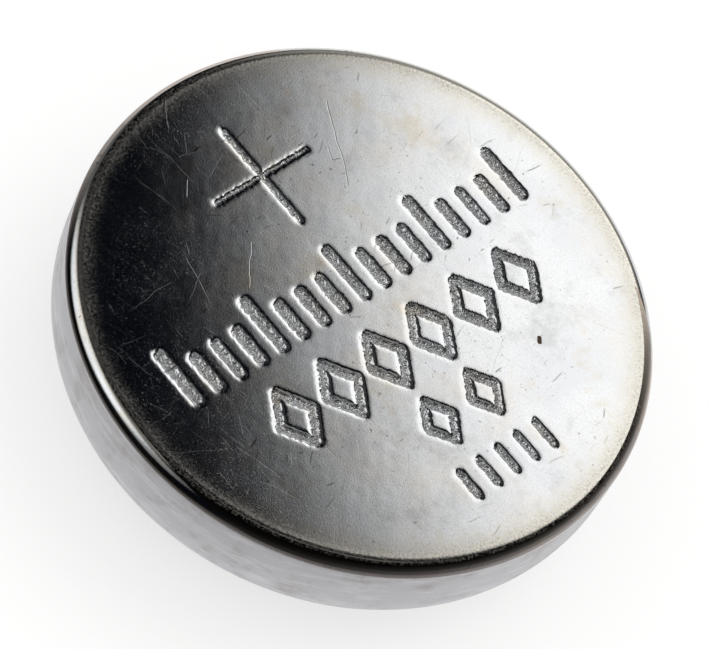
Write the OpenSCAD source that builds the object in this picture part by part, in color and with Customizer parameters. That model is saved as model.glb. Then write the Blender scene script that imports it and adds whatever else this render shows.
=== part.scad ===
// A round lithium coin cell, lying on its negative cap with the positive face up.
// Origin: the middle of the cap's contact face. +Z runs along the cell's axis to the positive face,
// the stamped rows run along +X, and the plus sign lies towards +Y. Millimetres.

/* [Cell] */
// Diameter over the can's wall
cell_d = 11.5; // [9:0.1:24]
// Height from the cap's contact face to the positive face
cell_h = 3; // [2.5:0.05:5.5]

/* [Positive can] */
// Thickness of the can's sheet
can_t = 0.2; // [0.15:0.01:0.24]
// Outside radius between the positive face and the wall
can_corner_r = 0.26; // [0.25:0.01:0.5]
// Outside radius of the mouth, which is curled in over the gasket
curl_r = 1.2; // [0.9:0.05:1.3]
// How far round the mouth is curled, in degrees
curl_angle = 76; // [60:1:84]
// How far the cap stands out beyond the curl
cap_stand = 0.55; // [0.3:0.05:0.7]

/* [Negative cap] */
// Thickness of the cap's sheet
cap_t = 0.2; // [0.15:0.01:0.24]
// Width of the flat ring on the cap's shoulder
cap_land = 0.3; // [0.1:0.05:0.5]
// Radius of the hollow between the shoulder and the neck
cap_hollow_r = 0.15; // [0.05:0.01:0.2]
// Outside radius between the neck and the contact face
cap_edge_r = 0.35; // [0.25:0.01:0.45]

/* [Gasket] */
// Thickness of the gasket between the can and the cap
gasket_t = 0.2; // [0.15:0.01:0.25]
// Thickness of the gasket's foot, over the cap's rim
foot_t = 0.25; // [0.15:0.01:0.35]
// Thickness of the gasket's leg, inside the cap's rim
leg_t = 0.3; // [0.15:0.01:0.35]
// How far that leg laps over the cap's rim
leg_lap = 0.25; // [0.1:0.01:0.3]
// How far the gasket shows past the middle of the curl
lip_w = 0.12; // [0.05:0.01:0.2]

/* [Electrodes] */
// Gap between the gasket's leg and the ring round the cathode pellet
ring_gap = 0.3; // [0.2:0.05:0.5]
// Sheet thickness of that ring
ring_t = 0.1; // [0.06:0.01:0.15]
// Height of the ring's wall
ring_h = 0.8; // [0.4:0.05:0.95]
// Width of the ring's flange, between the pellet and the can's floor
flange_w = 0.4; // [0.2:0.05:0.8]
// Thickness of the separator
separator_t = 0.15; // [0.08:0.01:0.2]
// Gap between the separator's edge and the bend of the cap's shoulder
separator_gap = 0.05; // [0.02:0.01:0.2]
// Gap between the lithium disc's edge and the bend of the cap's contact face
lithium_gap = 0.25; // [0.1:0.05:0.8]

/* [Stamped marks] */
// Depth of the marks in the positive face
mark_depth = 0.05; // [0.02:0.01:0.08]
// Width of the bare ring between the marks and the edge of the flat face
mark_edge = 0.84; // [0.3:0.01:1.5]
// Number of upright ticks in the long row, every fourth of them at full length
tick_count = 17; // [5:4:17]
// Number of lozenges in the row under it
lozenge_count = 6; // [1:1:7]
// Number of small ticks in the lowest row
small_tick_count = 5; // [1:1:6]

/* [Hidden] */
$fn = 96;
over = 1;                                         // how far a cut runs past what it cuts

// Radii and heights that the pieces share
can_r = cell_d / 2;
can_floor_z = cell_h - can_t;
curl_x = can_r - curl_r;                          // middle of the curl's section
curl_z = cap_stand + curl_r;
cap_inset = can_t + gasket_t;                     // from the can's outside to the cap's
cap_rim_z = can_floor_z - foot_t;
cap_rim_in_r = can_r - cap_inset - cap_t;
neck_r = curl_x - cap_land - cap_hollow_r;
leg_z = cap_rim_z - leg_lap;
leg_r = cap_rim_in_r - leg_t;
ring_r = leg_r - ring_gap;
shoulder_z = cap_stand + cap_inset + cap_t;       // inside of the cap's shoulder
pellet_z = shoulder_z + separator_t;

// The stamp is drawn to fill a circle of radius stamp_r, and is scaled to fit the flat face
stamp_r = 4.65;
stamp = (can_r - can_corner_r - mark_edge) / stamp_r;
plus_y = 3.15;                                    // middles of the plus sign and of the rows
tick_y = 0.65;
lozenge_y = -1.2;
small_lozenge_y = -2.75;
small_tick_y = -4.05;
plus_l = 2.4;
plus_w = 0.13;
tick_l = 1.3;
short_tick_l = 0.9;
tick_w = 0.2;
tick_pitch = 0.53;
lozenge = [0.8, 1.2];                             // width and height over the middle of the stroke
lozenge_stroke = 0.17;
lozenge_pitch = 1.15;
small_lozenge = [0.66, 0.95];
small_lozenge_stroke = 0.15;
small_lozenge_count = 2;
small_tick_l = 0.65;
small_tick_w = 0.13;
small_tick_pitch = 0.5;

// A rectangle from corner to corner
module area(from, to) {
    translate(from) square(to - from);
}

// A quarter disc on the outer side of a point, above it if up is true and below it if not
module quarter_disc(at, r, up) {
    translate(at) intersection() {
        circle(r);
        translate([0, up ? 0 : -r]) square(r);
    }
}

// Half section of the can's outer envelope, moved inwards by inset
module can_space(inset) {
    r = can_r - inset;
    corner = [can_r - can_corner_r, cell_h - can_corner_r];
    area([0, curl_z], [r, corner.y]);
    area([0, curl_z], [corner.x, cell_h - inset]);
    quarter_disc(corner, can_corner_r - inset, true);
    area([0, cap_stand + inset], [curl_x, curl_z]);
    quarter_disc([curl_x, curl_z], curl_r - inset, false);
}

// Half section of the cap's outer envelope, moved inwards by inset and open at the height top
module cap_space(inset, top) {
    bend_r = curl_r - cap_inset - inset;
    land_z = curl_z - bend_r;
    edge = [neck_r - cap_edge_r, cap_edge_r];
    hollow_r = cap_hollow_r + inset;
    hollow = [neck_r + cap_hollow_r, land_z - hollow_r];
    area([0, curl_z], [curl_x + bend_r, top]);
    quarter_disc([curl_x, curl_z], bend_r, false);
    area([0, land_z], [curl_x, curl_z]);
    area([0, edge.y], [neck_r - inset, land_z]);
    area([0, inset], [edge.x, land_z]);
    quarter_disc(edge, cap_edge_r - inset, false);
    difference() {
        area([edge.x, hollow.y], [hollow.x, land_z]);
        translate(hollow) circle(hollow_r);
    }
}

// Half section of everything on the inner side of the curl's end
module mouth_space() {
    middle = [curl_x, curl_z];
    end = middle + 2 * curl_r * [cos(curl_angle), -sin(curl_angle)];
    polygon([middle, end, [0, end.y], [0, curl_z]]);
}

// A stroke of the stamp about its own middle, upright, with round ends
module stroke(l, w) {
    square(stamp * [w, l - w], center = true);
    for (side = [-1, 1]) translate([0, side * stamp * (l - w) / 2]) circle(d = stamp * w);
}

// A row of count marks, centred over the middle of the face; $mark numbers them
module mark_row(y, pitch, count) {
    for ($mark = [0 : count - 1])
        translate(stamp * [($mark - (count - 1) / 2) * pitch, y]) children();
}

// A lozenge of the given width and height
module lozenge_area(size) {
    polygon(stamp / 2 * [[size.x, 0], [0, size.y], [-size.x, 0], [0, -size.y]]);
}

// The outline of a lozenge, as a stroke of width w
module lozenge_mark(size, w) {
    share = w * norm(size) / (size.x * size.y);   // how much half a stroke adds to the lozenge's size
    difference() {
        lozenge_area((1 + share) * size);
        lozenge_area((1 - share) * size);
    }
}

// All the stamped marks, in plan
module marks() {
    mark_row(plus_y, 0, 1)
        for (turn = [0, 90]) rotate(turn) stroke(plus_l, plus_w);
    mark_row(tick_y, tick_pitch, tick_count) {
        l = $mark % 4 == 0 ? tick_l : short_tick_l;
        translate([0, stamp * (l - tick_l) / 2]) stroke(l, tick_w);
    }
    mark_row(lozenge_y, lozenge_pitch, lozenge_count) lozenge_mark(lozenge, lozenge_stroke);
    mark_row(small_lozenge_y, lozenge_pitch, small_lozenge_count)
        lozenge_mark(small_lozenge, small_lozenge_stroke);
    mark_row(small_tick_y, small_tick_pitch, small_tick_count) stroke(small_tick_l, small_tick_w);
}

// Drawn sheet can, stamped on its flat face
module positive_can() {
    color("#c6c6c4") difference() {
        rotate_extrude() difference() {
            can_space(0);
            can_space(can_t);
            mouth_space();
        }
        translate([0, 0, cell_h - mark_depth]) linear_extrude(mark_depth + over) marks();
    }
}

// Drawn sheet cap that stands in the gasket with its rim up
module negative_cap() {
    color("#bcbdbd") rotate_extrude() difference() {
        cap_space(0, cap_rim_z);
        cap_space(cap_t, cap_rim_z + over);
    }
}

// Moulded ring that fills the gap between the can and the cap, with a foot and a leg round the cap's rim
module gasket() {
    color("#d9d8d0") rotate_extrude() difference() {
        can_space(can_t);
        area([0, leg_z], [leg_r, cell_h]);
        area([0, 0], [curl_x - lip_w, curl_z]);
        cap_space(0, leg_z);
        area([cap_rim_in_r, curl_z], [cap_rim_in_r + cap_t, cap_rim_z]);
    }
}

// Pressed tablet on the can's floor, stepped where the ring's flange lies under it
module cathode_pellet() {
    color("#2b2b2d") rotate_extrude() {
        area([0, pellet_z], [ring_r - ring_t, can_floor_z - ring_t]);
        area([0, pellet_z], [ring_r - ring_t - flange_w, can_floor_z]);
    }
}

// Ring of L section round the pellet, its flange on the can's floor
module cathode_ring() {
    color("#a9abae") rotate_extrude() {
        area([ring_r - ring_t, can_floor_z - ring_h], [ring_r, can_floor_z]);
        area([ring_r - ring_t - flange_w, can_floor_z - ring_t], [ring_r, can_floor_z]);
    }
}

// Disc between the electrodes, its edge held on the cap's shoulder
module separator() {
    color("#f1f1ec") translate([0, 0, shoulder_z])
        cylinder(h = separator_t, r = curl_x - separator_gap);
}

// Disc of lithium, pressed onto the inside of the cap
module lithium_anode() {
    color("#cfd0d3") translate([0, 0, cap_t])
        cylinder(h = shoulder_z - cap_t, r = neck_r - cap_edge_r - lithium_gap);
}

positive_can();
negative_cap();
gasket();
cathode_pellet();
cathode_ring();
separator();
lithium_anode();
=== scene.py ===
import math
import bpy
import numpy as np
from mathutils import Matrix, Vector


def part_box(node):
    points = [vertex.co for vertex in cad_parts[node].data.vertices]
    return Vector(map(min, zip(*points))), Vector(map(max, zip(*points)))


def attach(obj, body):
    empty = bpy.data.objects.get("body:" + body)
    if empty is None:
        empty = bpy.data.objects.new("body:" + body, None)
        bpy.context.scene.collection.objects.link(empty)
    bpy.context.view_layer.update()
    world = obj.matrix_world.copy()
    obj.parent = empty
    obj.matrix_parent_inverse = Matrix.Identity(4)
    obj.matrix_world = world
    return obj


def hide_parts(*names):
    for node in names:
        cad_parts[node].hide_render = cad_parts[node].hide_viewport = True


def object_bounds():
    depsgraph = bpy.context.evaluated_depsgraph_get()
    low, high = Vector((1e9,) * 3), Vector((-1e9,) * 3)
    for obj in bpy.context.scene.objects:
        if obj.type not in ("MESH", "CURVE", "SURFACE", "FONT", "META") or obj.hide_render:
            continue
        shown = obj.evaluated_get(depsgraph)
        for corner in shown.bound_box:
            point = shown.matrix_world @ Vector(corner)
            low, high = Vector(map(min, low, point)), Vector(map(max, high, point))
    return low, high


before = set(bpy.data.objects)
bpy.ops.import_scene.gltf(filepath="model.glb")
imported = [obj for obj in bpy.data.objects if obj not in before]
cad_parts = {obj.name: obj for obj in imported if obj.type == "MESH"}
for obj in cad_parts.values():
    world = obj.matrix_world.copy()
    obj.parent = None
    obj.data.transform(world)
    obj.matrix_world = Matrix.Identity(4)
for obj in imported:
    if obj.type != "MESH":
        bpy.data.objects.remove(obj)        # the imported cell: every size and place below starts from it
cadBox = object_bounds()
mm = 0.001               # shapes are worked out in millimetres and turned to metres in makePiece
print("frame loaded:", sorted(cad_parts))


def linear(hexText):
    # sRGB hex text to the linear colour that Blender's sockets hold
    channels = [int(hexText[i:i + 2], 16) / 255 for i in (1, 3, 5)]
    return tuple(c / 12.92 if c <= 0.04045 else ((c + 0.055) / 1.055) ** 2.4 for c in channels) + (1.0,)


def smoothStep(low, high, x):
    # 0 below low, 1 above high, and 3t^2 - 2t^3 between
    t = np.clip((x - low) / (high - low), 0, 1)
    return t * t * (3 - 2 * t)


def arc(centre, radius, start, end, steps):
    # points centre + radius (cos a, sin a) for steps + 1 angles from start to end, in degrees
    a = np.radians(np.linspace(start, end, steps + 1))
    return np.stack([centre[0] + radius * np.cos(a), centre[1] + radius * np.sin(a)], axis=1)


def rounded(corners, loop=False, step=0.6, close=0.03):
    # a path of straight runs through (r, z, radius) corners, each corner replaced by the arc that touches
    # both its sides; straight runs get points close to their ends, which keep flat areas flat when smooth
    # shaded, and one every step between
    corners = np.array(corners, float)
    points = []
    for i, (here, radius) in enumerate(zip(corners[:, :2], corners[:, 2])):
        if radius == 0:
            points.append(here)
            continue
        toBefore = corners[i - 1, :2] - here
        toAfter = corners[(i + 1) % len(corners), :2] - here
        toBefore /= np.hypot(*toBefore)
        toAfter /= np.hypot(*toAfter)
        half = math.acos(toBefore @ toAfter) / 2
        bisector = (toBefore + toAfter) / np.hypot(*(toBefore + toAfter))
        centre = here + bisector * radius / math.sin(half)
        first = here + toBefore * radius / math.tan(half) - centre
        last = here + toAfter * radius / math.tan(half) - centre
        sweep = math.pi - 2 * half
        for t in np.linspace(0, 1, 4 + int(8 * radius ** 0.5)):
            between = math.sin((1 - t) * sweep) * first + math.sin(t * sweep) * last
            points.append(centre + between / math.sin(sweep))
    if loop:
        points.append(points[0])
    path = [points[0]]
    for before, after in zip(points, points[1:]):
        length = np.hypot(*(after - before))
        if length > 5 * close:
            shares = np.linspace(close / length, 1 - close / length, 2 + int(length / step))
            path += [before + (after - before) * share for share in shares]
        path.append(after)
    return np.array(path[:-1] if loop else path)


def ringFaces(first, second, count):
    # quads between two rings of count points, whose first indices are first and second
    here = np.arange(count)
    after = (here + 1) % count
    return np.stack([first + here, second + here, second + after, first + after], axis=1)


def addObject(name, data):
    # an object for a mesh, camera or lamp, in the scene
    made = bpy.data.objects.new(name, data)
    bpy.context.scene.collection.objects.link(made)
    return made


def makePiece(name, points, faces, material, node):
    # a smooth-shaded mesh in place of one CAD node, riding on the cell's only body
    mesh = bpy.data.meshes.new(name)
    mesh.from_pydata((points * mm).tolist(), [], faces)
    mesh.polygons.foreach_set("use_smooth", np.ones(len(mesh.polygons), bool))
    mesh.materials.append(material)
    piece = addObject(name, mesh)
    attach(piece, "root")
    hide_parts(node)
    print(name, "built:", len(mesh.polygons), "faces")
    return piece


def latheMesh(profile, around, loop):
    # (r cos t, r sin t, z) for a profile of (r, z) points: each makes a ring, and one on the axis a pole
    turn = np.linspace(0, 2 * np.pi, around, endpoint=False)
    rings = profile if loop else profile[1:-1]
    points = np.stack([rings[:, :1] * np.cos(turn), rings[:, :1] * np.sin(turn),
                       rings[:, 1:] + 0 * turn], axis=-1).reshape(-1, 3)
    start = np.arange(len(rings)) * around
    pairs = list(zip(start, np.roll(start, -1))) if loop else list(zip(start, start[1:]))
    faces = np.concatenate([ringFaces(a, b, around) for a, b in pairs]).tolist()
    if not loop:
        here = np.arange(around)
        after = (here + 1) % around
        first, last = len(points), len(points) + 1
        faces += np.stack([np.full(around, first), here, after], axis=1).tolist()
        faces += np.stack([start[-1] + here, np.full(around, last), start[-1] + after], axis=1).tolist()
        points = np.concatenate([points, [(0, 0, profile[0, 1]), (0, 0, profile[-1, 1])]])
    return points, faces


# the camera, and the direction that headings are counted from
view = {
    "azimuth": -66.3,        # degrees round the cell from the -Y side
    "elevation": 55.07,
    "roll": 29.29,
    "distance": 75.0,        # mm from the middle of the positive face
    "asideRight": 0.25,      # mm that the cell lies right of and above the middle of the view
    "asideUp": 0.497,
    "lens": 203.4,
}


def placeCamera():
    azimuth, elevation, roll = (math.radians(view[k]) for k in ("azimuth", "elevation", "roll"))
    back = Vector((math.sin(azimuth) * math.cos(elevation), -math.cos(azimuth) * math.cos(elevation),
                   math.sin(elevation)))
    level = Vector((math.cos(azimuth), math.sin(azimuth), 0))
    upright = back.cross(level)
    right = math.cos(roll) * level + math.sin(roll) * upright
    up = math.cos(roll) * upright - math.sin(roll) * level
    place = view["distance"] * back - view["asideRight"] * right - view["asideUp"] * up
    camera = bpy.data.cameras.new("camera")
    camera.lens = view["lens"]
    camera.sensor_width = 36
    camera.clip_start = 0.001
    cameraObject = addObject("camera", camera)
    turn = Matrix((right, up, back)).transposed().to_4x4()
    cameraObject.matrix_world = Matrix.Translation(place * mm + Vector((0, 0, cadBox[1].z))) @ turn
    bpy.context.scene.camera = cameraObject


placeCamera()
print("camera placed")


# positive can: nickel-plated stainless sheet, drawn, stamped and crimped
can = {
    "radius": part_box("positive_can")[1].x / mm,
    "faceZ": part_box("positive_can")[1].z / mm,
    "sheet": 0.2,            # mm, as are the lengths below
    "cornerRadius": 0.26,
    "curlRadius": 1.2,
    "curlAngle": 76,         # degrees round the mouth
    "capStand": 0.55,
    "bendGap": 0.04,         # from a bend to the nearest point on the wall
    "gridRadius": 4.65,      # the stamped part of the face is a fine grid, the rest of it rings
    "gridSteps": 252,        # squares along each side of that grid
    "gridRings": [(0, 0), (0.6, 3.04), (0.775, 3.44), (1, 4.65)],  # share of its rings inside each radius
    "flatTo": (4.9, 5.4),    # the unevenness fades between these radii
    "peel": 0.0003,          # height of the sheet's slow unevenness, and the lengths of its two waves
    "peelWaves": (1.1, 0.35),
    "stamp": {
        "depth": 0.05,
        "wall": 0.06,        # width of a groove's sloping side
        "sink": 0.05,        # how far the sheet is drawn down round a groove
        "ragged": 0.024,     # how far a groove's edge wanders, and the length of that wave
        "raggedWave": 0.13,
        "grain": 0.016,      # height of the coarse grain on a groove's floor, and the length of its wave
        "grainWave": 0.12,
        "plus": {"y": 3.15, "length": 2.38, "width": 0.085},
        "ticks": {"y": 0.65, "length": 1.3, "short": 0.9, "width": 0.19, "pitch": 0.53, "count": 17},
        "lozenges": {"y": -1.2, "size": (0.8, 1.2), "width": 0.16, "pitch": 1.15, "count": 6},
        "smallLozenges": {"y": -2.75, "size": (0.66, 0.95), "width": 0.14, "pitch": 1.15, "count": 2},
        "smallTicks": {"y": -4.05, "length": 0.65, "short": 0.65, "width": 0.13, "pitch": 0.5, "count": 5},
    },
    "face": "#D4D6D7",       # nickel plate, almost white where it mirrors a lamp
    "faceCool": "#CBCDD0",   # faint blotches of thicker and of yellowed plate
    "faceWarm": "#D3CFC7",
    "faceDull": "#C7C6C4",   # the specks between the grains of the plate
    "rim": "#CBC6BB",        # the worn ring next to the corner, slightly yellow
    "rimGrime": "#5A5546",   # grime in its grains
    "cloud": "#AEAEAD",      # soft grey clouds where the plate has dulled
    "smudge": "#C5BBA8",     # and tan ones where it was touched
    "dot": "#77736C",
    # darker than the face: a greyer plate, and painted shade for the dim floor that the wall mirrors
    "wall": "#C0C0C4",
    "wallStain": "#ACA9A9",
    "wallBright": "#D6D5D8",  # streaks drawn round the wall
    "soil": "#4B3524",
    # roughness of the face between its scratches, in a deep scratch, and on the corner, wall and grooves
    "mirror": 0.03,
    "scratch": 0.4,
    "cornerRough": 0.09,
    "wallRough": 0.36,
    "grooveRough": 0.18,
    # where each begins and ends, in mm: by height, then by radius
    "wallHeights": (2.93, 2.68),
    "rimHeights": (2.96, 2.99),
    "grimeHeights": (2.975, 2.992),
    "speckHeights": (2.9, 2.95),
    "rimRadii": (5.25, 6.0),
    "grimeRadii": (5.3, 5.75, 0.0, 0.7),
    "cornerRadii": (5.35, 5.5),
    # layers of straight scratches: mm from one to the next, half width in mm, depth as a share, heading and
    # the range round it, in degrees. Most real ones are finer than this and wouldn't show
    "scratches": [
        (1 / 0.5, 0.009, 0.2, -75, 25), (1 / 0.8, 0.009, 0.2, -75, 35), (1 / 1.3, 0.008, 0.18, -75, 50),
        (1 / 0.6, 0.009, 0.3, 0, 180), (1 / 1.0, 0.008, 0.22, 0, 180), (1 / 1.6, 0.008, 0.2, 0, 180),
        (1 / 2.6, 0.008, 0.18, 0, 180)],
    "scuffs": (1 / 2.2, 0.022, 0.9, 10, 70),
    # the scratches that stand out, from (x, y) to (x, y) in mm, with their depth
    "marks": [
        (2.25, 3.8, 1.37, 2.08, 0.7), (1.57, 2.94, 1.46, 2.69, 0.9), (1.46, 2.69, 1.62, 2.64, 1.0),
        (-1.11, 2.11, -1.79, 1.38, 0.25), (-1.28, 3.82, -1.55, 3.56, 0.2), (-0.75, 4.2, -1.1, 4.28, 0.15)],
    "speck": (2.34, -2.475, 2.28, -2.545),  # a speck of dried soil, from end to end
    # noise: seed, mm from one feature to the next, detail and its roughness, then where in the noise the
    # change starts and ends and what it goes from and to. The plate's own grain is under 0.001 mm and
    # wouldn't show, so dust, sand, dull specks, grime and the grains are drawn 0.03 to 0.07 mm apart
    "dust": (21, 1 / 24, 1, 0.5, 0.58, 0.8, 0, 0.3),
    "handled": (34, 1 / 0.6, 2, 0.5, 0.35, 0.65, 0.4, 1),
    "sand": (31, 1 / 18, 2, 0.7, 0.54, 0.72, 0, 0.1),
    "haze": (30, 1 / 1.1, 4, 0.6, 0.42, 0.66),
    "rimRough": (35, 1 / 19, 2, 0.5, 0.35, 0.65, 0.08, 0.15),
    "warmBlotches": (60, 1 / 0.7, 4, 0.6, 0.45, 0.7),
    "coolBlotches": (61, 1 / 0.6, 4, 0.6, 0.45, 0.7),
    "dullSpecks": (64, 1 / 25, 2, 0.7, 0.4, 0.75),
    "clouds": (65, 1 / 1.1, 6, 0.68, 0.5, 0.74, 0, 0.8),
    "smudges": (68, 1 / 0.9, 6, 0.68, 0.54, 0.72, 0, 0.7),
    "dots": (69, 1 / 8, 3, 0.65, 0.61, 0.68),
    "dotted": (70, 1 / 0.9, 2, 0.5, 0.42, 0.6, 0, 0.8),
    "scuffed": (71, 1 / 0.8, 2, 0.5, 0.52, 0.62),
    "grime": (66, 1 / 19, 3, 0.7, 0.45, 0.75),
    "wallStains": (40, 1 / 1.4, 4, 0.65, 0.45, 0.7),
    "pits": (62, 1 / 6, 4, 0.7, 0.71, 0.76, 0, 0.6),
    "pitted": (63, 1 / 0.8, 2, 0.5, 0.45, 0.6),
    # seed, size, detail and roughness as above, then a height in mm
    "grain": (50, 1 / 30, 3, 0.75, 0.0003),   # an even grain all over
    "sandGrain": (53, 1 / 14, 3, 0.7, 0.00012),
    "rimGrain": (51, 1 / 17, 2, 0.5, 0.0008),
    # grit in the grooves: its size, then mm of height by its noise, and mm added
    "grit": 1 / 10,
    "gritHeight": (0.1, -0.042),
    # sizes of what breaks the edges of the worn ring, finely and slowly, and of the speck
    "crumble": 1 / 17,
    "waver": 1 / 2.2,
    "speckRagged": 1 / 14,
    # brushed streaks: seed, heading in degrees, length and width in mm, then where in the noise they lie
    "brushed": [((32, -75, 1 / 0.5, 1 / 10), (0.5, 0.68)), ((33, -20, 1 / 0.6, 1 / 12), (0.56, 0.72))],
    "wallStreak": (0.9, 0.9, 6),  # streaks to the mm along x, y and z: 1.1 mm long round the wall, 0.17 high
}


def rowMiddles(row):
    # the x of each mark in a row that is centred on the face
    return (np.arange(row["count"]) - (row["count"] - 1) / 2) * row["pitch"]


def stampStrokes():
    # every stroke of the stamp as (x0, y0, x1, y1, half width), between the middles of its round ends
    strokes = []
    stamp = can["stamp"]
    plus = stamp["plus"]
    reach = (plus["length"] - plus["width"]) / 2
    strokes.append((-reach, plus["y"], reach, plus["y"], plus["width"] / 2))
    strokes.append((0, plus["y"] - reach, 0, plus["y"] + reach, plus["width"] / 2))
    for row in (stamp["ticks"], stamp["smallTicks"]):
        half = row["width"] / 2
        foot = row["y"] - row["length"] / 2
        for i, x in enumerate(rowMiddles(row)):
            length = row["length"] if i % 4 == 0 else row["short"]
            strokes.append((x, foot + half, x, foot + length - half, half))
    for row in (stamp["lozenges"], stamp["smallLozenges"]):
        wide, high = row["size"][0] / 2, row["size"][1] / 2
        corners = [(wide, 0), (0, high), (-wide, 0), (0, -high)]
        for x in rowMiddles(row):
            for (x0, y0), (x1, y1) in zip(corners, corners[1:] + corners[:1]):
                strokes.append((x + x0, row["y"] + y0, x + x1, row["y"] + y1, row["width"] / 2))
    return strokes


def strokeDistance(x, y):
    # distance to the nearest stroke's edge, negative inside it
    nearest = np.full(x.shape, 9.0)
    for x0, y0, x1, y1, half in stampStrokes():
        dx, dy = x1 - x0, y1 - y0
        along = np.clip(((x - x0) * dx + (y - y0) * dy) / (dx * dx + dy * dy), 0, 1)
        nearest = np.minimum(nearest, np.hypot(x - x0 - along * dx, y - y0 - along * dy) - half)
    return nearest


def waveNoise(x, y, wave, seed):
    # sum of 24 plane waves with random headings and phases, of about that wavelength, mostly from -1 to 1
    random = np.random.default_rng(seed)
    total = np.zeros_like(x)
    for heading, phase, stretch in random.uniform((0, 0, 0.7), (2 * np.pi, 2 * np.pi, 1.5), (24, 3)):
        total += np.sin((x * np.cos(heading) + y * np.sin(heading)) * 2 * np.pi * stretch / wave + phase)
    return total / 24 ** 0.5 / 2


def faceHeight(x, y):
    # height of the stamped face against its plane, never above it, and how far a point lies in a groove
    stamp = can["stamp"]
    edge = strokeDistance(x, y) + stamp["ragged"] * waveNoise(x, y, stamp["raggedWave"], 4)
    inside = 1 - smoothStep(-stamp["wall"], 0.01, edge)
    drawn = np.exp(-(np.maximum(edge, 0) / stamp["sink"]) ** 2)
    beads = 0.5 * np.random.default_rng(3).uniform(-1, 1, x.shape)
    grain = (waveNoise(x, y, stamp["grainWave"], 3) + beads) * stamp["grain"] * inside
    flat = 1 - smoothStep(*can["flatTo"], np.hypot(x, y))
    slow, fast = can["peelWaves"]
    peel = (waveNoise(x, y, slow, 5) + 0.35 * waveNoise(x, y, fast, 6) - 1.6) * can["peel"] * flat
    return peel + grain - stamp["depth"] * (0.96 * inside + 0.04 * drawn), inside


def discGrid(radius, steps):
    # a square grid folded onto a disc: each square ring becomes a circle, its sides stretched to arcs; the
    # rings lie closer where the plus sign's thin arm runs nearly along them
    side = np.linspace(-1, 1, steps + 1)
    shares, radii = zip(*can["gridRings"])
    side = np.sign(side) * np.interp(np.abs(side), shares, radii) / radius
    a, b = np.meshgrid(side, side, indexing="ij")
    sideways = np.abs(a) >= np.abs(b)
    reach = np.where(sideways, a, b)
    ratio = np.where(sideways, b, a) / np.where(reach == 0, 1, reach)
    turn = np.where(sideways, np.pi / 4 * ratio, np.pi / 2 - np.pi / 4 * ratio)
    return radius * reach * np.cos(turn), radius * reach * np.sin(turn)


def canProfile():
    # half section from the edge of the face's grid over the corner, wall and curl, and back inside
    r, z, t = can["radius"], can["faceZ"], can["sheet"]
    corner = (r - can["cornerRadius"], z - can["cornerRadius"])
    curl = (r - can["curlRadius"], can["capStand"] + can["curlRadius"])
    end = -can["curlAngle"]
    middle = can["curlRadius"] - t / 2
    lip = (curl[0] + middle * math.cos(math.radians(end)), curl[1] + middle * math.sin(math.radians(end)))
    gap = can["bendGap"]
    return np.concatenate([
        [(share * corner[0] + (1 - share) * can["gridRadius"], z) for share in (0.45, 0.95)],
        arc(corner, can["cornerRadius"], 88, 0, 9),
        [(r, corner[1] - gap), (r, curl[1] + 0.3), (r, curl[1] + gap)],
        arc(curl, can["curlRadius"], -3, end + 2, 8),
        arc(lip, t / 2, end - 30, end - 150, 2),      # the mouth's rounded edge
        arc(curl, can["curlRadius"] - t, end + 2, 0, 3),
        arc(corner, can["cornerRadius"] - t, 0, 90, 1),
    ])


def makeCan(material):
    # the face's grid as (x, y, height), then the profile as (r cos t, r sin t, z) at the angles of its edge
    steps = can["gridSteps"]
    x, y = discGrid(can["gridRadius"], steps)
    spread = can["gridRadius"] / steps
    samples = [faceHeight(x + a, y + b) for a in (-spread, 0, spread) for b in (-spread, 0, spread)]
    height, inside = np.mean(samples, axis=0)      # the mean round each point keeps slanting edges even
    face = np.stack([x, y, can["faceZ"] + height], axis=-1).reshape(-1, 3)
    index = np.arange((steps + 1) ** 2).reshape(steps + 1, steps + 1)
    squares = np.stack([index[:-1, :-1], index[1:, :-1], index[1:, 1:], index[:-1, 1:]], axis=-1)
    rim = np.concatenate([index[-1, :-1], index[:0:-1, -1], index[0, :0:-1], index[:-1, 0]])
    turn = np.arctan2(face[rim, 1], face[rim, 0])[None, :]
    profile = canProfile()
    rings = np.stack([profile[:, :1] * np.cos(turn), profile[:, :1] * np.sin(turn),
                      profile[:, 1:] + 0 * turn], axis=-1)
    onFace = profile[:, 1] > can["faceZ"] - 1e-6
    rings[onFace, :, 2] += faceHeight(rings[onFace, :, 0], rings[onFace, :, 1])[0]
    count, around = len(profile), len(rim)
    start = len(face) + np.arange(count) * around
    bands = [ringFaces(a, b, around) for a, b in zip(start[:-1], start[1:])]
    here = np.arange(around)
    after = (here + 1) % around
    top = np.stack([rim, start[0] + here, start[0] + after, rim[after]], axis=1)
    pole = start[-1] + around
    fan = np.stack([start[-1] + here, np.full(around, pole), start[-1] + after], axis=1)
    points = np.concatenate([face, rings.reshape(-1, 3), [(0, 0, can["faceZ"] - can["sheet"])]])
    quads = np.concatenate([squares.reshape(-1, 4), top, *bands])
    faces = quads.tolist() + fan.tolist()
    piece = makePiece("positiveCan", points, faces, material, "positive_can")
    mask = piece.data.attributes.new("groove", "FLOAT", "POINT")
    values = np.zeros(len(points))
    values[:len(face)] = inside.ravel()
    mask.data.foreach_set("value", values)


# the property that a node's choice sets, for the kinds that have one
workedBy = {
    "Math": "operation",
    "VectorMath": "operation",
    "VectorRotate": "rotation_type",
    "MapRange": "interpolation_type",
    "Mix": "data_type",
    "TexNoise": "noise_dimensions",
    "TexVoronoi": "voronoi_dimensions",
    "Attribute": "attribute_name",
}


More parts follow.
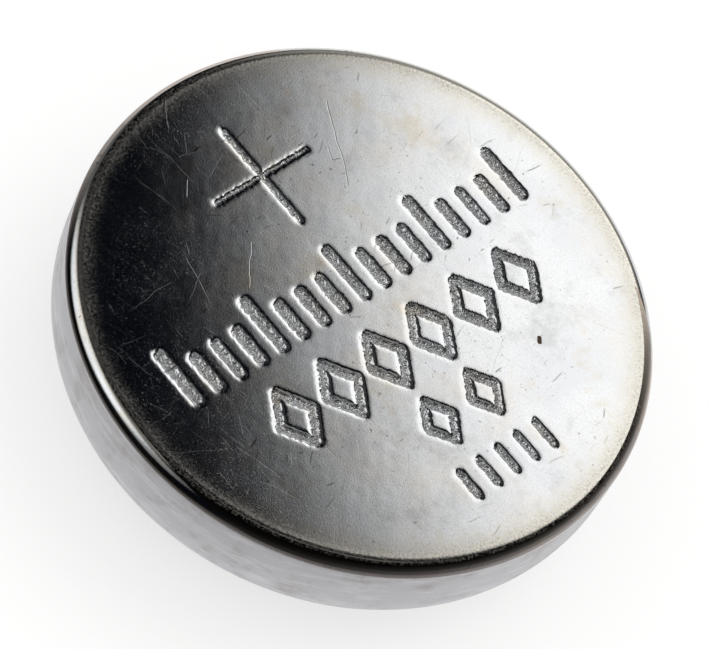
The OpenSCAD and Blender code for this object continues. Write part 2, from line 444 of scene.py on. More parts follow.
class Shader:
    # the nodes of a material or of the world

    def __init__(self, owner):
        self.owner = owner
        owner.use_nodes = True
        self.tree = owner.node_tree
        self.tree.nodes.clear()

    def add(self, kind, *values, **named):
        # one node, its kind followed by its choice if it has one. Values go in order to the inputs that it
        # then shows, named ones to inputs by name: a number, a hex colour or another node's output each, and
        # None leaves its input alone. It gives the node's first output, whose own node has the others
        kind, _, choice = kind.partition(" ")
        node = self.tree.nodes.new("ShaderNode" + kind)
        if choice:
            setattr(node, workedBy[kind], choice)
        shown = [socket for socket in node.inputs if socket.enabled]
        byName = [(node.inputs[name], value) for name, value in named.items()]
        for socket, value in list(zip(shown, values)) + byName:
            if isinstance(value, bpy.types.NodeSocket):
                self.tree.links.new(value, socket)
            elif value is not None:
                socket.default_value = linear(value) if isinstance(value, str) else value
        return next((socket for socket in node.outputs if socket.enabled), None)


class PieceShader(Shader):
    # a piece's material, worked out from Object coordinates in mm; a pattern's size is the mm from one of its
    # features to the next, and its seed moves it elsewhere

    def __init__(self, name):
        super().__init__(bpy.data.materials.new(name))
        place = self.add("TexCoord").node.outputs["Object"]
        self.place = self.add("VectorMath SCALE", place, 1 / mm)
        self.x, self.y, self.z = self.add("SeparateXYZ", self.place).node.outputs
        squares = [self.add("Math MULTIPLY", side, side) for side in (self.x, self.y)]
        self.radius = self.add("Math SQRT", self.add("Math ADD", *squares))

    def mottle(self, seed, size, detail, roughness, low, high, start=0.0, end=1.0):
        # smooth step of a noise: start where the noise is under low, end where it is over high
        noise = self.add("TexNoise 4D", self.place, seed, 1 / size, detail, roughness)
        return self.add("MapRange SMOOTHSTEP", noise, low, high, start, end)

    def grain(self, seed, size, detail, roughness, height, share=1.0):
        # noise times a place's share of it, times a height in mm
        noise = self.add("TexNoise 4D", self.place, seed, 1 / size, detail, roughness)
        return self.add("Math MULTIPLY", self.add("Math MULTIPLY", noise, share), height)

    def rings(self, seed, size, detail, roughness):
        # noise at (radius, height) / size, which is the same all round the axis
        ring, level = (self.add("Math MULTIPLY", part, 1 / size) for part in (self.radius, self.z))
        place = self.add("CombineXYZ", ring, level, 0.0)
        return self.add("TexNoise 4D", place, seed, 1.0, detail, roughness)

    def streaks(self, seed, heading, length, width):
        # noise drawn out along a heading in degrees: place turned back by it, over (length, width, length)
        turned = self.add("VectorRotate Z_AXIS", self.place, None, -math.radians(heading))
        drawn = self.add("VectorMath MULTIPLY", turned, (1 / length, 1 / width, 1 / length))
        return self.add("TexNoise 4D", drawn, seed, 1.0, 3.0, 0.6)

    def bent(self, across, seed):
        # a distance from a straight line plus 0.16 (noise - 0.5) mm, which bends it over half a millimetre
        sway = self.add("TexNoise 4D", self.place, seed, 1.8, 1.0)
        return self.add("Math ADD", across, self.add("Math MULTIPLY_ADD", sway, 0.16, -0.08))

    def scratches(self, seed, spacing, width, strength, heading, spread):
        # one straight scratch in each cell of a random pattern, whose cells are spacing apart: the cell's own
        # colour turns it within the spread of degrees round the heading, sets its length and fades it
        moved = self.add("VectorMath ADD", self.place, (seed, -seed, 0))
        cell = self.add("TexVoronoi 2D", moved, 1 / spacing).node.outputs
        chance = self.add("SeparateXYZ", cell["Color"]).node.outputs
        local = self.add("VectorMath SUBTRACT", moved, cell["Position"])
        least = -math.radians(heading + spread / 2)
        angle = self.add("Math MULTIPLY_ADD", chance[0], math.radians(spread), least)
        turned = self.add("VectorRotate Z_AXIS", local, None, angle)
        along, across = self.add("SeparateXYZ", turned).node.outputs[:2]
        across = self.add("Math ABSOLUTE", self.bent(across, seed))
        reach = self.add("Math MULTIPLY_ADD", chance[1], 0.5 * spacing, 0.1 * spacing)
        reach = self.add("Math DIVIDE", self.add("Math ABSOLUTE", along), reach)
        side = self.add("MapRange SMOOTHSTEP", across, width, width * 0.3)
        line = self.add("Math MULTIPLY", side, self.add("MapRange SMOOTHSTEP", reach, 1.0, 0.4))
        return self.add("Math MULTIPLY", line, self.add("Math MULTIPLY", chance[2], strength))

    def hairlines(self, seed, layers):
        # the deepest of several layers of scratches
        deepest = 0.0
        for i, layer in enumerate(layers):
            deepest = self.add("Math MAXIMUM", deepest, self.scratches(seed + i, *layer))
        return deepest

    def line(self, x0, y0, x1, y1, depth, width=0.012):
        # one scratch from (x0, y0) to (x1, y1): depth times a smooth step of the distance from that stretch
        run = Vector((x1 - x0, y1 - y0, 0))
        middle = ((x0 + x1) / 2, (y0 + y1) / 2, 0)
        local = self.add("VectorMath SUBTRACT", self.place, middle)
        turned = self.add("VectorRotate Z_AXIS", local, None, -math.atan2(run.y, run.x))
        along, across = self.add("SeparateXYZ", turned).node.outputs[:2]
        past = self.add("Math SUBTRACT", self.add("Math ABSOLUTE", along), run.length / 2)
        past = self.add("Math MAXIMUM", past, 0.0)
        if run.length > 0.2:
            across = self.bent(across, x0)
        squares = [self.add("Math MULTIPLY", side, side) for side in (past, across)]
        away = self.add("Math SQRT", self.add("Math ADD", *squares))
        return self.add("MapRange SMOOTHSTEP", away, width, width * 0.3, 0.0, depth)

    def finish(self, colour, metallic, roughness, height, **more):
        # the surface, with a height in mm through one bump node
        bump = self.add("Bump", Height=height, Distance=mm)
        named = {"Base Color": colour, "Metallic": metallic, "Roughness": roughness, "Normal": bump, **more}
        self.add("OutputMaterial", self.add("BsdfPrincipled", **named))
        return self.owner


def platedCanSteel():
    # nickel over rolled stainless sheet, drawn and handled: a soft mirror that goes from black to white over
    # a few degrees, dusted with hairlines, rougher and warmer round the rim, mottled on the wall and painted
    # darker there as shade for the dim floor that the wall mirrors
    s = PieceShader("platedCanSteel")
    groove = s.add("Attribute groove").node.outputs["Fac"]
    wall = s.add("MapRange SMOOTHSTEP", s.z, *can["wallHeights"])
    corner = s.add("MapRange SMOOTHSTEP", s.radius, *can["cornerRadii"])
    waver = s.add("TexNoise 4D", s.place, 3.1, 1 / can["waver"])
    wander = s.add("Math MULTIPLY_ADD", waver, 0.3, s.radius)      # the radius plus up to 0.3 mm
    crumble = s.add("TexNoise 4D", s.place, 3.2, 1 / can["crumble"])
    rim = s.add("Math MULTIPLY_ADD", crumble, 0.5, wander)
    rim = s.add("MapRange SMOOTHSTEP", rim, *can["rimRadii"])
    rim = s.add("Math MULTIPLY", rim, s.add("MapRange SMOOTHSTEP", s.z, *can["rimHeights"]))
    hairlines = s.hairlines(3.0, can["scratches"])
    marks = 0.0
    for mark in can["marks"]:
        marks = s.add("Math MAXIMUM", marks, s.line(*mark))

    # roughness: scratches, dust and haze over the mirror, then the rougher parts
    handled = s.mottle(*can["handled"])
    dust = s.add("Math MULTIPLY", s.mottle(*can["dust"]), handled)
    worn = s.add("Math MAXIMUM", s.add("Math MAXIMUM", hairlines, marks), dust)
    layers = []
    for streak, limits in can["brushed"]:
        layers.append(s.add("MapRange SMOOTHSTEP", s.streaks(*streak), *limits))
    brushed = s.add("Math MAXIMUM", *layers)
    haze = s.add("Math MULTIPLY_ADD", brushed, 0.016, 0.02)
    haze = s.add("Math MULTIPLY", haze, s.mottle(*can["haze"]))
    rough = s.add("Math MULTIPLY_ADD", worn, can["scratch"] - can["mirror"], can["mirror"])
    rough = s.add("Math ADD", rough, haze)
    rough = s.add("Math ADD", rough, s.add("Math MULTIPLY", s.mottle(*can["sand"]), handled))
    rough = s.add("Math MAXIMUM", rough, s.add("Math MULTIPLY", rim, s.mottle(*can["rimRough"])))
    for part, level in ((corner, can["cornerRough"]), (wall, can["wallRough"]), (groove, can["grooveRough"])):
        rough = s.add("Math MAXIMUM", rough, s.add("Math MULTIPLY", part, level))

    # colour: each layer goes over those before it by its share
    clouds = s.add("Math MAXIMUM", s.add("Math MULTIPLY", hairlines, 0.6), marks)
    clouds = s.add("Math MAXIMUM", s.mottle(*can["clouds"]), clouds)
    dots = s.add("Math MULTIPLY", s.mottle(*can["dots"]), s.mottle(*can["dotted"]))
    scuffs = s.add("Math MULTIPLY", s.scratches(40.0, *can["scuffs"]), s.mottle(*can["scuffed"]))
    grime = s.add("MapRange SMOOTHSTEP", wander, *can["grimeRadii"])
    grime = s.add("Math MULTIPLY", s.mottle(*can["grime"]), grime)
    grime = s.add("Math MULTIPLY", grime, s.add("MapRange SMOOTHSTEP", s.z, *can["grimeHeights"]))
    colour = can["face"]
    tints = {
        "faceWarm": s.mottle(*can["warmBlotches"]), "faceCool": s.mottle(*can["coolBlotches"]),
        "faceDull": s.mottle(*can["dullSpecks"]), "cloud": clouds, "smudge": s.mottle(*can["smudges"]),
        "dot": s.add("Math MAXIMUM", dots, scuffs), "rim": rim, "rimGrime": grime}
    for tint, share in tints.items():
        colour = s.add("Mix RGBA", share, colour, can[tint])
    # the wall's colour, darker than the face's, is a greyer plate and also painted shade for the dim floor
    # that the wall mirrors
    stain = s.mottle(*can["wallStains"])
    side = s.add("Mix RGBA", stain, can["wall"], can["wallStain"])
    drawn = s.add("VectorMath MULTIPLY", s.place, can["wallStreak"])
    drawn = s.add("TexNoise 4D", drawn, 41.0, 1.0, 5.0, 0.68)
    drawn = s.add("MapRange SMOOTHSTEP", drawn, 0.45, 0.7, 0.0, 0.8)
    side = s.add("Mix RGBA", drawn, side, can["wallBright"])
    colour = s.add("Mix RGBA", wall, colour, side)
    ragged = s.add("TexNoise 4D", s.place, 67.0, 1 / can["speckRagged"])
    speck = s.add("Math MULTIPLY_ADD", ragged, 0.6, s.line(*can["speck"], 1.0, 0.075))
    speck = s.add("MapRange SMOOTHSTEP", speck, 0.8, 1.0)
    speck = s.add("Math MULTIPLY", speck, s.add("MapRange SMOOTHSTEP", s.z, *can["speckHeights"]))
    pits = s.add("Math MULTIPLY", s.mottle(*can["pits"]), s.mottle(*can["pitted"]))
    soil = s.add("Math MAXIMUM", speck, pits)
    colour = s.add("Mix RGBA", soil, colour, can["soil"])

    # height: fine grain, grain on the rim, grit in the grooves, and the scratches cut into them
    grit = s.add("TexNoise 4D", s.place, 52.0, 1 / can["grit"], 2.0, 0.6)
    grit = s.add("Math MULTIPLY", s.add("Math MULTIPLY_ADD", grit, *can["gritHeight"]), groove)
    height = s.add("Math ADD", s.grain(*can["grain"]), s.grain(*can["sandGrain"]))
    height = s.add("Math ADD", height, s.add("Math ADD", s.grain(*can["rimGrain"], corner), grit))
    cut = s.add("Math MULTIPLY", s.add("Math MULTIPLY_ADD", hairlines, 0.3, marks), -0.0012)
    height = s.add("Math ADD", height, cut)
    covered = (s.add("Math MULTIPLY", part, level) for part, level in ((soil, 0.9), (groove, 0.2)))
    metal = s.add("Math SUBTRACT", 1.0, s.add("Math MAXIMUM", *covered))
    metal = s.add("Math MULTIPLY", metal, s.add("Math MULTIPLY_ADD", grime, -0.5, 1.0))
    rough = s.add("Math MAXIMUM", rough, s.add("Math MULTIPLY", soil, 0.5))
    return s.finish(colour, metal, rough, height)


makeCan(platedCanSteel())


# negative cap: the same sheet, drawn with a matte contact face
cap = {
    "radius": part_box("negative_cap")[1].x / mm,
    "rimZ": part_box("negative_cap")[1].z / mm,
    "sheet": 0.2,            # mm
    "neck": 4.1,             # radius of the part that stands out
    "shoulderZ": 0.95,
    "edgeRadius": 0.35,
    "hollowRadius": 0.15,
    "bendRadius": 0.8,
    "plate": "#C0BEB9",
    "tarnish": "#9C958A",
    "bare": "#E6E6E4",       # fresh metal in the scratches
    "scratches": [
        (1 / 0.35, 0.014, 1.0, 20, 60), (1 / 0.5, 0.012, 0.8, 0, 180), (1 / 0.9, 0.01, 0.7, 0, 180)],
    "matte": 0.34,           # roughness of the blasted contact face
    "bright": 0.17,          # and of the drawn sides
    # patterns, written as for the can
    "uneven": (71, 1 / 1.2, 4, 0.6, 0.35, 0.7, -0.04, 0.05),
    "tarnished": (72, 1 / 2.5, 4, 0.65, 0.35, 0.65),
    "rubbedParts": (75, 1 / 5, 4, 0.7, 0.35, 0.6),
    "dents": (73, 1 / 15, 3, 0.7, 0.006),      # mm: dents of a blasting bead
    "turned": (70, 1 / 7, 2, 0.6),             # fine rings, and the broader ones that are rubbed
    "rubbed": (74, 1 / 3.2, 3, 0.7),
}


def makeCap(material):
    # the section's corners, inside from the axis to the rim and outside back again, turned round the axis
    r, neck, t, shoulder = cap["radius"], cap["neck"], cap["sheet"], cap["shoulderZ"]
    edge, hollow, bend = cap["edgeRadius"], cap["hollowRadius"], cap["bendRadius"]
    inside = [(0, t, 0), (neck - t, t, edge - t), (neck - t, shoulder + t, hollow + t),
              (r - t, shoulder + t, bend - t), (r - t, cap["rimZ"], 0.03)]
    outside = [(r, cap["rimZ"], 0.03), (r, shoulder, bend), (neck, shoulder, hollow), (neck, 0, edge),
               (0, 0, 0)]
    points, faces = latheMesh(rounded(inside + outside), 480, False)
    makePiece("negativeCap", points, faces, material, "negative_cap")


def blastedCapSteel():
    # nickel over blasted stainless sheet: an even frosted face with rubbed rings and a few long scratches,
    # its drawn edge and neck shinier, tarnished where the neck meets the shoulder
    s = PieceShader("blastedCapSteel")
    face = s.add("MapRange SMOOTHSTEP", s.radius, 3.85, 3.6)
    face = s.add("Math MULTIPLY", face, s.add("MapRange SMOOTHSTEP", s.z, 0.1, 0.05))
    worn = s.hairlines(20.0, cap["scratches"])
    turned = s.rings(*cap["turned"])
    rubbed = s.add("MapRange SMOOTHSTEP", s.rings(*cap["rubbed"]), 0.45, 0.62)
    rubbed = s.add("Math MULTIPLY", s.add("Math MULTIPLY", rubbed, face), s.mottle(*cap["rubbedParts"]))
    rough = s.add("Math MULTIPLY_ADD", face, cap["matte"] - cap["bright"], cap["bright"])
    rough = s.add("Math ADD", rough, s.add("MapRange SMOOTHSTEP", turned, 0.35, 0.7, -0.03, 0.04))
    rough = s.add("Math ADD", rough, s.mottle(*cap["uneven"]))
    rough = s.add("Math SUBTRACT", rough, s.add("Math MULTIPLY", worn, 0.5))
    rough = s.add("Math MULTIPLY_ADD", rubbed, -0.16, rough)
    deeper = s.add("MapRange SMOOTHSTEP", s.z, 0.35, 0.95, 0.5, 1.0)
    tarnish = s.add("Math MULTIPLY", s.mottle(*cap["tarnished"]), deeper)
    colour = s.add("Mix RGBA", tarnish, cap["plate"], cap["tarnish"])
    colour = s.add("Mix RGBA", s.add("Math MULTIPLY", worn, 0.9), colour, cap["bare"])
    colour = s.add("Mix RGBA", s.add("Math MULTIPLY", rubbed, 0.6), colour, cap["bare"])
    height = s.add("Math ADD", s.grain(*cap["dents"], face), s.add("Math MULTIPLY", turned, 0.0012))
    height = s.add("Math ADD", height, s.add("Math MULTIPLY", worn, -0.012))
    return s.finish(colour, 1.0, rough, height)


makeCap(blastedCapSteel())


# gasket: moulded ring between the can and the cap
gasket = {
    "radius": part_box("gasket")[1].x / mm,
    "topZ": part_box("gasket")[1].z / mm,
    "footZ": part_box("gasket")[0].z / mm,
    "curl": 1.0,             # mm outside radius of its bend
    "lip": 4.43,             # radius of the edge that shows round the cap
    "leg": 4.85,             # radius and lower end of the leg inside the cap's rim
    "legZ": 2.3,
    "resin": "#D9D8D0",
    "aged": "#C9C3AF",       # where the resin has yellowed
    "agedParts": (80, 1 / 1.6, 4, 0.6, 0.4, 0.7, 0, 0.5),
    "moulded": (81, 1 / 9, 2, 0.5),
    "grain": (82, 1 / 14, 2, 0.5, 0.002),
}


def makeGasket(material):
    # the closed section's corners, from the leg round the outside to the lip and back along the cap, turned
    r, top, foot, leg = gasket["radius"], gasket["topZ"], gasket["footZ"], gasket["leg"]
    capIn = cap["radius"] - cap["sheet"]
    loop = [(leg, top, 0.03), (r, top, 0.06), (r, foot, gasket["curl"]), (gasket["lip"], foot, 0.05),
            (gasket["lip"], cap["shoulderZ"], 0.03), (cap["radius"], cap["shoulderZ"], cap["bendRadius"]),
            (cap["radius"], cap["rimZ"], 0.02), (capIn, cap["rimZ"], 0.02), (capIn, gasket["legZ"], 0.03),
            (leg, gasket["legZ"], 0.05)]
    points, faces = latheMesh(rounded(loop, True), 480, True)
    makePiece("gasketRing", points, faces, material, "gasket")


def mouldedPolypropylene():
    # moulded and squeezed polypropylene: waxy, faintly ringed by the mould, yellowed in patches
    s = PieceShader("mouldedPolypropylene")
    aged = s.mottle(*gasket["agedParts"])
    colour = s.add("Mix RGBA", aged, gasket["resin"], gasket["aged"])
    moulded = s.rings(*gasket["moulded"])
    rough = s.add("MapRange SMOOTHSTEP", moulded, 0.3, 0.7, 0.34, 0.5)
    height = s.add("Math ADD", s.add("Math MULTIPLY", moulded, 0.003), s.grain(*gasket["grain"]))
    return s.finish(colour, 0.0, rough, height, **{"Subsurface Weight": 0.15, "Subsurface Scale": 0.0003})


makeGasket(mouldedPolypropylene())


# electrodes, stacked inside
stack = {
    "ringSheet": 0.1,        # mm
    "flange": 0.4,
    "mix": "#2B2B2D",        # manganese dioxide with carbon
    "graphite": "#5A5C60",
    "ringSteel": "#BBBDC0",
    "fleece": "#F1F1EC",
    "fleeceShade": "#D5D4CC",
    "lithium": "#C6C7CA",
    "oxide": "#8D8B90",      # the dull skin that lithium takes on
    # how each disc is drawn in unevenly: mm at its edge and on its faces, mm of the wave, and a seed
    "pelletUneven": (0.02, 0.006, 0.5, 90),
    "fleeceUneven": (0.03, 0.012, 0.35, 91),
    "lithiumUneven": (0.05, 0.02, 1.4, 92),
    # patterns, written as for the can
    "flakes": (95, 1 / 16, 1, 0.5, 0.6, 0.68),
    "crumbs": (96, 1 / 4, 4, 0.7, 0.62, 0.7, 0, -0.012),
    "powder": 1 / 11,
    "drawnLines": (100, 1 / 22, 3, 0.7),
    "fibreHeadings": (12, 58, 97, 149),
    "fibre": (1 / 1.2, 1 / 22),                # mm length and width: a real one is 0.02 and wouldn't show
    "fleeceClouds": (110, 1 / 2.2, 3, 0.5, 0.01),
    "skin": (115, 1 / 1.1, 5, 0.65, 0.42, 0.64),
    "rolled": (116, 20, 1 / 0.5, 1 / 12),      # lines that are coarser than real ones, which wouldn't show
    "lithiumGrain": (117, 1 / 9, 3, 0.5, 0.002),
}


def drawnIn(points, aside, across, wave, seed):
    # points moved unevenly towards the axis by up to aside and towards the middle height by up to across
    slanted = points[:, 0] + 2 * points[:, 2], points[:, 1] - points[:, 2]
    share = np.clip(0.5 + 0.5 * waveNoise(*slanted, wave, seed), 0, 1)
    r = np.maximum(np.hypot(points[:, 0], points[:, 1]), 1e-6)
    middle = (points[:, 2].min() + points[:, 2].max()) / 2
    half = points[:, 2].max() - middle
    scale = 1 - np.minimum(aside, r) / r * share
    z = middle + (points[:, 2] - middle) * (1 - across / half * share)
    return np.stack([points[:, 0] * scale, points[:, 1] * scale, z], axis=1)


def makeDisc(name, node, material, corners, uneven):
    # a section's corners turned round the axis and drawn in
    points, faces = latheMesh(rounded(corners, step=0.13), 240, False)
    makePiece(name, drawnIn(points, *uneven), faces, material, node)


def makeStack(pellet, ring, fleece, lithium):
    # each section from its CAD box: a stepped pellet, an L-shaped ring and two plain discs
    low, high = (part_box("cathode_pellet")[i] / mm for i in (0, 1))
    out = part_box("cathode_ring")[1].x / mm
    t, inner = stack["ringSheet"], high.x - stack["flange"]
    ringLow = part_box("cathode_ring")[0].z / mm
    loop = [(inner, high.z, 0.02), (out, high.z, 0.08), (out, ringLow, 0.03), (out - t, ringLow, 0.03),
            (out - t, high.z - t, 0.01), (inner, high.z - t, 0.02)]
    points, faces = latheMesh(rounded(loop, True), 360, True)
    makePiece("cathodeRing", points, faces, ring, "cathode_ring")
    corners = [(0, high.z, 0), (inner, high.z, 0.02), (inner, high.z - t, 0.01), (high.x, high.z - t, 0.03),
               (high.x, low.z, 0.07), (0, low.z, 0)]
    makeDisc("cathodePellet", "cathode_pellet", pellet, corners, stack["pelletUneven"])
    low, high = (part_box("separator")[i] / mm for i in (0, 1))
    corners = [(0, high.z, 0), (high.x, high.z, 0.05), (high.x, low.z, 0.05), (0, low.z, 0)]
    makeDisc("separatorDisc", "separator", fleece, corners, stack["fleeceUneven"])
    low, high = (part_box("lithium_anode")[i] / mm for i in (0, 1))
    corners = [(0, high.z, 0), (high.x, high.z, 0.12), (high.x, low.z, 0.06), (0, low.z, 0)]
    makeDisc("lithiumAnode", "lithium_anode", lithium, corners, stack["lithiumUneven"])


def pressedCathodeMix():
    # pressed manganese dioxide powder: sooty black, with graphite flakes that glint and crumbs lost from it
    s = PieceShader("pressedCathodeMix")
    flakes = s.mottle(*stack["flakes"])
    colour = s.add("Mix RGBA", flakes, stack["mix"], stack["graphite"])
    powder = s.add("TexNoise 4D", s.place, 97.0, 1 / stack["powder"], 3.0, 0.65)
    height = s.add("Math MULTIPLY_ADD", powder, 0.005, s.mottle(*stack["crumbs"]))
    rough = s.add("MapRange SMOOTHSTEP", flakes, 0.0, 1.0, 0.72, 0.38)
    return s.finish(colour, s.add("Math MULTIPLY", flakes, 0.5), rough, height)


def drawnRingSteel():
    # thin drawn stainless: drawing lines that run round it, bright between them
    s = PieceShader("drawnRingSteel")
    lines = s.rings(*stack["drawnLines"])
    rough = s.add("MapRange SMOOTHSTEP", lines, 0.3, 0.7, 0.16, 0.32)
    return s.finish(stack["ringSteel"], 1.0, rough, s.add("Math MULTIPLY", lines, 0.0012))


def nonwovenFleece():
    # polypropylene fibres laid at random and pressed flat: matte, cloudy, brighter where fibres cross
    s = PieceShader("nonwovenFleece")
    fibres = 0.0
    for i, heading in enumerate(stack["fibreHeadings"]):
        fibres = s.add("Math MAXIMUM", fibres, s.streaks(105.0 + i, heading, *stack["fibre"]))
    shade = s.add("MapRange SMOOTHSTEP", fibres, 0.72, 0.5)
    colour = s.add("Mix RGBA", shade, stack["fleece"], stack["fleeceShade"])
    height = s.add("Math MULTIPLY_ADD", fibres, 0.012, s.grain(*stack["fleeceClouds"]))
    return s.finish(colour, 0.0, 0.86, height, **{"Sheen Weight": 0.2})


def rolledLithium():
    # soft metal foil: rolling lines along one heading under a blotchy dull skin
    s = PieceShader("rolledLithium")
    skin = s.mottle(*stack["skin"])
    colour = s.add("Mix RGBA", skin, stack["lithium"], stack["oxide"])
    metal = s.add("MapRange SMOOTHSTEP", skin, 0.0, 1.0, 1.0, 0.7)
    rough = s.add("MapRange SMOOTHSTEP", skin, 0.0, 1.0, 0.3, 0.55)
    rolled = s.streaks(*stack["rolled"])
    height = s.add("Math MULTIPLY_ADD", rolled, 0.003, s.grain(*stack["lithiumGrain"]))
    return s.finish(colour, metal, rough, height)


makeStack(pressedCathodeMix(), drawnRingSteel(), nonwovenFleece(), rolledLithium())


# floor, backdrop and room
studio = {
    "ambient": 0.75,         # what diffuse surfaces see all round
    "room": 0.006,           # what reflections see between the fields, bluish
    "roomColour": "#A5C0FF",
    "lamp": 0.45,
    "lampWidth": 50,         # degrees, for a soft shadow
    "lampPlace": (30, 55),   # heading and elevation
    "floorColour": "#BCBCBB",
    "floorGlow": 0.6,        # for rays that aren't diffuse, which takes the card up to white
    "floorHole": 3.7,        # mm: the cap's contact face covers the hole
    "floorEdge": 400,
    "floorSides": 60,
    "floorZ": -0.000005,     # metres, just clear of the contact face
}

# soft light fields that reflections see: heading from the camera's forward direction to its right and
# elevation, both in degrees, then the inner and outer radius in degrees and the brightness
fields = [
    (14.6, 45.6, 9.8, 15.9, 1.5),
    (-97, 40, 8, 36, 1.25),
    (-132, 42, 5, 25, 0.3),
    (2, 24, 8, 27, 0.44),
    (0, 90, 6, 24, 0.3),
    (-28, 61, 3, 13, 0.05),
    (-57, 18, 4, 20, 0.13),
    (72, 15, 6, 25, 0.6),
    (112, 15, 6, 25, 0.6),
    (152, 13, 6, 22, 0.45),
    (60, -40, 10, 60, 0.5),
    (-120, -50, 10, 70, 0.35),
]


def headingVector(heading, elevation):
    # unit vector at a heading from the camera's forward direction, positive to its right
    turn = math.radians(view["azimuth"] - heading)
    flat = math.cos(math.radians(elevation))
    return Vector((-math.sin(turn) * flat, math.cos(turn) * flat, math.sin(math.radians(elevation))))


def makeWorld():
    world = bpy.data.worlds.new("studio")
    bpy.context.scene.world = world
    s = Shader(world)
    direction = s.add("TexCoord").node.outputs["Generated"]
    rise = s.add("SeparateXYZ", direction).node.outputs["Z"]
    backdrop = s.add("MapRange SMOOTHSTEP", rise, 0.16, 0.04, 0.0, 0.8)
    under = s.add("MapRange SMOOTHSTEP", rise, -0.6, -0.05, 0.15, 1.0)
    total = s.add("Math MULTIPLY", backdrop, under)
    for heading, elevation, inner, outer, brightness in fields:
        near = s.add("VectorMath DOT_PRODUCT", direction, headingVector(heading, elevation))
        edge, core = (math.cos(math.radians(angle)) for angle in (outer, inner))
        glow = s.add("MapRange SMOOTHERSTEP", near, edge, core, 0.0, brightness)
        total = s.add("Math ADD", total, glow)
    white = (1, 1, 1, 1)
    reflected = s.add("Background", white, total)
    room = s.add("Background", studio["roomColour"], studio["room"])
    mirrored = s.add("AddShader", reflected, room)
    ambient = s.add("Background", white, studio["ambient"])
    seen = s.add("Background", white, 1.0)
    path = s.add("LightPath").node.outputs
    lit = s.add("MixShader", path["Is Diffuse Ray"], mirrored, ambient)
    s.add("OutputWorld", s.add("MixShader", path["Is Camera Ray"], lit, seen))


def makeFloor():
    # a round sheet of white card under the cell, seen from above only
    material = bpy.data.materials.new("whiteCard")
    s = Shader(material)
    diffuse = s.add("LightPath").node.outputs["Is Diffuse Ray"]
    level = s.add("Math MULTIPLY_ADD", diffuse, -studio["floorGlow"], studio["floorGlow"])
    glow = s.add("Emission", None, level)
    card = s.add("BsdfDiffuse", studio["floorColour"])
    both = s.add("AddShader", card, glow)
    below = s.add("NewGeometry").node.outputs["Backfacing"]
    s.add("OutputMaterial", s.add("MixShader", below, both, s.add("BsdfTransparent")))
    # a ring: under the cap's contact face, which covers its hole, reflections go on to the world below
    sides = studio["floorSides"]
    last = 360 - 360 / sides
    rims = [arc((0, 0), studio[rim], 0, last, sides - 1) for rim in ("floorHole", "floorEdge")]
    mesh = bpy.data.meshes.new("floor")
    mesh.from_pydata([(x * mm, y * mm, studio["floorZ"]) for x, y in np.concatenate(rims)], [],
                     ringFaces(sides, 0, sides)[:, ::-1].tolist())
    mesh.materials.append(material)
    addObject("floor", mesh)


# glowing cards round the near side that only reflections see, whose levels paint the shaded floor and a dark
# surround into the can's reflection and give the rim its dark line: a tray that lies from the foot outwards,
# and a thin collar close to the can's corner. Headings are counted leftwards, past the near side
paintedReflection = {
    "colour": "#FFF3EC",
    "rows": 81,              # points along each card
    "steps": 14,             # quads across it
    "from": 30,              # headings of the tray's two ends
    "to": 310,
    "inner": 7.75,           # mm from the cell's axis
    "outer": 12.5,
    "height": 4.0,
    "fadeIn": 68,            # degrees over which its ends fade to their level
    "fadeOut": 16,
    "endLevel": 0.9,
    "corner": (5.7, 2.85),   # radius and height in the can's corner, from which the tray's slope is taken
    # where the tray starts to darken at some headings, in degrees of that slope, and over how many degrees
    "lean": ((110, 160, 190, 230, 270), (-72, -68, -42, -38, -34)),
    "shade": 55,
    "collarFrom": 135,
    "collar": 0.5,           # mm from the can's corner to the collar
    # lower and upper edge of the collar at some headings, in degrees up round the can's corner
    "collarLow": ((135, 160, 182, 300, 310), (90, 84, 0, 0, 60)),
    "collarHigh": ((135, 150, 180, 195, 210, 240, 280, 310), (94, 102, 98, 96, 88, 80, 74, 66)),
    "palest": -60,           # both cards are palest towards this heading
}


def makeCard(name, headings, r, z, levels):
    # a glowing card that only reflections see, a painted reflection of light and shade: a grid of points at a
    # heading, a radius and a height, each with its own level of light
    s = Shader(bpy.data.materials.new(name))
    level = s.add("Attribute level").node.outputs["Fac"]
    s.add("OutputMaterial", s.add("Emission", paintedReflection["colour"], level))
    turn = np.radians(view["azimuth"] + headings)
    points = np.stack([-np.sin(turn) * r, np.cos(turn) * r, z], axis=-1).reshape(-1, 3)
    width = paintedReflection["steps"] + 1
    corner = (np.arange(paintedReflection["rows"] - 1)[:, None] * width + np.arange(paintedReflection["steps"])).ravel()
    faces = np.stack([corner, corner + 1, corner + width + 1, corner + width], axis=1)
    mesh = bpy.data.meshes.new(name)
    mesh.from_pydata((points * mm).tolist(), [], faces.tolist())
    mesh.attributes.new("level", "FLOAT", "POINT").data.foreach_set("value", levels.ravel())
    mesh.materials.append(s.owner)
    card = addObject(name, mesh)
    card.visible_camera = False
    card.visible_diffuse = False
    card.visible_shadow = False


def cardGrid(first):
    # headings along a card, each point's number across it, and how near the palest heading it lies: (1 +
    # cos) / 2
    headings = np.linspace(first, paintedReflection["to"], paintedReflection["rows"])
    headings, across = np.meshgrid(headings, np.arange(paintedReflection["steps"] + 1), indexing="ij")
    return headings, across, (1 + np.cos(np.radians(headings - paintedReflection["palest"]))) / 2


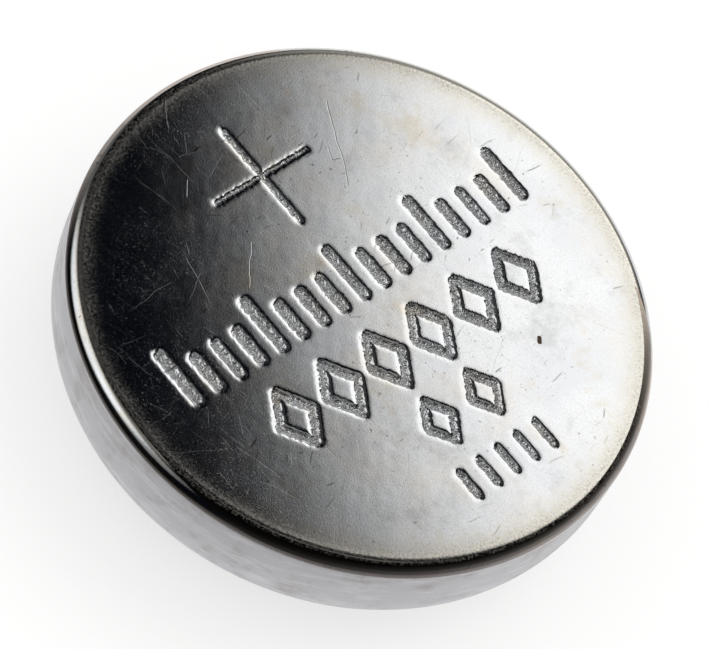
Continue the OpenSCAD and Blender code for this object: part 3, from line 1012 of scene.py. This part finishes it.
def makeTray():
    # a floor of 9 points from the inner radius to the outer, then a wall of 6 up to the height. Its level,
    # which paints the floor and its shade into the can's reflection, goes from 0.44 - 0.98 p + 1.19 p^2 to
    # 0.003 + 0.16 p^3 over the shade's degrees, with p how pale the heading is
    headings, across, pale = cardGrid(paintedReflection["from"])
    r = np.concatenate([np.linspace(paintedReflection["inner"], paintedReflection["outer"], 9), np.full(6, paintedReflection["outer"])])[across]
    z = 0.01 + np.concatenate([np.zeros(9), np.linspace(0.1, 1, 6)])[across] * paintedReflection["height"]
    cornerR, cornerZ = paintedReflection["corner"]
    slope = np.degrees(np.arctan2(z - cornerZ, r - cornerR))
    share = np.clip((slope - np.interp(headings, *paintedReflection["lean"])) / paintedReflection["shade"], 0, 1)
    levels = (0.44 - 0.98 * pale + 1.19 * pale ** 2) * (1 - share) + (0.003 + 0.16 * pale ** 3) * share
    shown = smoothStep(0, paintedReflection["fadeIn"], headings - paintedReflection["from"])
    shown *= smoothStep(0, paintedReflection["fadeOut"], paintedReflection["to"] - headings)
    makeCard("tray", headings, r, z, levels * shown + paintedReflection["endLevel"] * (1 - shown))


def makeCollar():
    # an arc round the section of the can's corner, from its low angle to its high one, which paints a dark
    # reflection into the rim. The level goes from
    # 3 (0.003 + 0.16 p^3) at the foot to 0.002 at the top, and is brighter towards the far end
    headings, across, pale = cardGrid(paintedReflection["collarFrom"])
    low, high = (np.interp(headings, *paintedReflection[edge]) for edge in ("collarLow", "collarHigh"))
    rise = low + (high - low) * across / paintedReflection["steps"]
    radius = can["cornerRadius"] + paintedReflection["collar"]
    r = can["radius"] - can["cornerRadius"] + radius * np.cos(np.radians(rise))
    z = can["faceZ"] - can["cornerRadius"] + radius * np.sin(np.radians(rise))
    upper = smoothStep(20, 70, rise)
    foot = 3 - 2 * smoothStep(10, 35, rise)
    levels = (0.003 + 0.16 * pale ** 3) * foot * (1 - upper) + 0.002 * upper
    end = smoothStep(275, 310, headings)
    bright = 0.35 + 0.5 * smoothStep(292, 308, headings)
    makeCard("collar", headings, r, z, levels * (1 - end) + bright * end)


def makeLamp():
    # one wide lamp for the soft shadow; reflections see the world's fields instead
    lamp = bpy.data.lights.new("key", "SUN")
    lamp.energy = studio["lamp"]
    lamp.angle = math.radians(studio["lampWidth"])
    lampObject = addObject("key", lamp)
    lampObject.rotation_euler = headingVector(*studio["lampPlace"]).to_track_quat("Z", "Y").to_euler()
    lampObject.visible_glossy = False


makeWorld()
makeFloor()
makeTray()
makeCollar()
makeLamp()
bpy.context.scene.view_settings.view_transform = "Standard"
print("studio lit")
